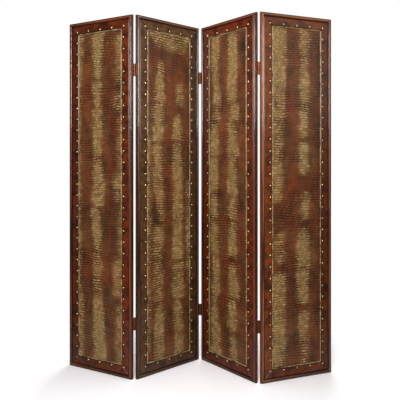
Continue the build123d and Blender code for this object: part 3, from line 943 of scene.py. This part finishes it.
def screwHeads(panel, low, high, side, salt):
    # Oval heads on the leaf's open face: height = dome (1 - (r/R)^2) less slotDepth where a point lies
    # within half a slot of the line through the middle, turned at random
    rings = np.linspace(0, 1, 9)[1:]
    segments = screws["segments"]
    angle = np.linspace(0, 2 * math.pi, segments, endpoint=False)
    r, a = np.meshgrid(rings[::-1] * screws["radius"], angle, indexing="ij")
    chance = np.random.default_rng(salt)
    pinFront = low[1] < 0      # the barrel stands in front of this panel, not behind it
    pin = low[1] + screws["barrel"] if pinFront else high[1] - screws["barrel"]
    into = 1 if pinFront else -1
    outward = 1 if side == "left" else -1
    face = panel["width"] + screws["plate"] if side == "left" else -screws["plate"]
    middle = (low[2] + high[2]) / 2
    points, faces = np.zeros((0, 3)), []
    for step in (-1, 0, 1):
        turn = chance.uniform(0, math.pi)
        w, z = r * np.cos(a), r * np.sin(a)
        slot = np.abs(-w * math.sin(turn) + z * math.cos(turn)) < screws["slotWidth"] / 2
        lift = screws["dome"] * (1 - (r / screws["radius"]) ** 2) - screws["slotDepth"] * slot
        wPlace = pin + into * (screws["fromPin"] + screws["stagger"] * (1 if step else -1))
        zPlace = middle + step * screws["spacing"]
        bottom = face + outward * (screws["dome"] - screws["slotDepth"])
        more = np.vstack([onPanel(panel, face + outward * lift, wPlace + w, zPlace + z),
                          onPanel(panel, np.array(bottom), np.array(wPlace), np.array(zPlace))])
        quads = gridFaces(len(rings), segments, wrapColumns=True)
        last = (len(rings) - 1) * segments
        quads += [[last + i, len(more) - 1, last + (i + 1) % segments] for i in range(segments)]
        quads.append(list(range(segments)))
        if side == "right":
            quads = [quad[::-1] for quad in quads]
        faces += [[corner + len(points) for corner in quad] for quad in quads]
        points = np.vstack([points, more])
    return points, faces


for fold in (1, 2, 3):
    for place in ("lower", "upper"):
        for side, number in (("left", fold), ("right", fold + 1)):
            node = f"hinge_{fold}_{place}_leaf_{side}"
            panel = panels[number]
            low, high = localBox(panel, node)
            points, faces = screwHeads(panel, low, high, side, fold * 4 + number)
            makePiece(f"{node}_screws", points, faces, copper, panel["body"])
print("screws made")


# Floor, light and camera

studio = {
    "floor": "#ffffff",
    "floorSize": 8.0,
    "clearTo": 0.85,           # from here the floor fades into the white backdrop
    "goneBy": 1.45,
    "bounce": 0.3,             # share of its light that the floor throws back on the screen
    "ambient": 0.10,           # what the room throws on the screen
    "backdrop": 1.0,           # what the camera sees behind it
}


def softbox(name, place, aim, size, power, colour):
    # A soft area light that doesn't show itself
    lamp = bpy.data.lights.new(name, "AREA")
    lamp.shape = "RECTANGLE"
    lamp.size, lamp.size_y = size
    lamp.energy = power
    lamp.color = linearColour(colour)[:3]
    holder = bpy.data.objects.new(name, lamp)
    holder.location = place
    direction = np.array(aim, float) - np.array(place, float)
    flat = math.hypot(direction[0], direction[1])
    turned = math.atan2(direction[1], direction[0]) - math.pi / 2
    holder.rotation_euler = (math.atan2(flat, -direction[2]), 0, turned)
    holder.visible_camera = False
    bpy.context.scene.collection.objects.link(holder)


softbox("key", (-0.5, -3.3, 2.05), (0, 0, 1.15), (0.9, 1.15), 118, "#fff4e8")
softbox("rightWall", (2.5, -1.5, 2.15), (0.2, 0, 1.3), (1.1, 1.6), 5, "#fff4ea")
softbox("backFill", (0.9, 3.6, 2.2), (0, 0, 0.9), (2.4, 1.6), 110, "#fff8f0")
softbox("overhead", (0, -0.2, 3.7), (0, 0, 0), (1.8, 1.6), 98, "#eef3ff")

world = bpy.data.worlds.new("studio")
bpy.context.scene.world = world
world.use_nodes = True
worldTree = world.node_tree
worldTree.nodes.clear()
seen = addNode(worldTree, "ShaderNodeLightPath")
strength = addNode(worldTree, "ShaderNodeMapRange", {3: studio["ambient"], 4: studio["backdrop"]},
                   {0: seen.outputs["Is Camera Ray"]})
sky = addNode(worldTree, "ShaderNodeBackground", {"Color": (1, 1, 1, 1)}, {"Strength": strength.outputs[0]})
addNode(worldTree, "ShaderNodeOutputWorld", links={"Surface": sky.outputs[0]})

floorMaterial, floorTree, floorShader = startMaterial("mattePaintedFloor", {"Roughness": 0.9})
floorPlace = addNode(floorTree, "ShaderNodeTexCoord")
floorClouds = addNode(floorTree, "ShaderNodeTexNoise", {"Scale": 1.2, "Detail": 2.0},
                      {"Vector": floorPlace.outputs["Object"]})
floorTone = addNode(floorTree, "ShaderNodeValToRGB", {"stops": [(0.3, "#fbfbff"), (0.7, studio["floor"])]},
                    {"Fac": floorClouds.outputs[0]})
floorSeen = addNode(floorTree, "ShaderNodeLightPath")
floorBounce = addNode(floorTree, "ShaderNodeMapRange", {3: studio["bounce"], 4: 1.0},
                      {0: floorSeen.outputs["Is Camera Ray"]})
floorColour = addNode(floorTree, "ShaderNodeMix", {"data_type": "RGBA", "blend_type": "MULTIPLY", 0: 1.0},
                      {6: floorTone.outputs[0], 7: floorBounce.outputs[0]})
floorTree.links.new(floorColour.outputs[2], floorShader.inputs["Base Color"])
fromMiddle = addNode(floorTree, "ShaderNodeVectorMath", {"operation": "LENGTH"},
                     {0: floorPlace.outputs["Object"]})
fade = addNode(floorTree, "ShaderNodeMapRange", {"interpolation_type": "SMOOTHSTEP", 1: studio["clearTo"],
               2: studio["goneBy"], 3: 1.0, 4: 0.0}, {0: fromMiddle.outputs["Value"]})
floorTree.links.new(fade.outputs[0], floorShader.inputs["Alpha"])
half = studio["floorSize"] / 2
floorMesh = bpy.data.meshes.new("floor")
floorCorners = [(-half, -half, 0), (half, -half, 0), (half, half, 0), (-half, half, 0)]
floorMesh.from_pydata(floorCorners, [], [(0, 1, 2, 3)])
floorMesh.materials.append(floorMaterial)
floor = bpy.data.objects.new("floor", floorMesh)
bpy.context.scene.collection.objects.link(floor)

view = {
    "place": (0.010, -2.620, 1.085),
    "lens": 45.1,
    "shiftDown": 0.0925,       # the photograph is framed below the camera's level line
}
camera = bpy.data.cameras.new("camera")
camera.lens = view["lens"]
camera.sensor_width = 36
camera.shift_y = -view["shiftDown"]
camera.clip_end = 200
cameraHolder = bpy.data.objects.new("camera", camera)
cameraHolder.location = view["place"]
cameraHolder.rotation_euler = (math.pi / 2, 0, 0)
bpy.context.scene.collection.objects.link(cameraHolder)
bpy.context.scene.camera = cameraHolder
bpy.context.scene.view_settings.view_transform = "Standard"
bpy.context.scene.view_settings.look = "None"
print("studio set")
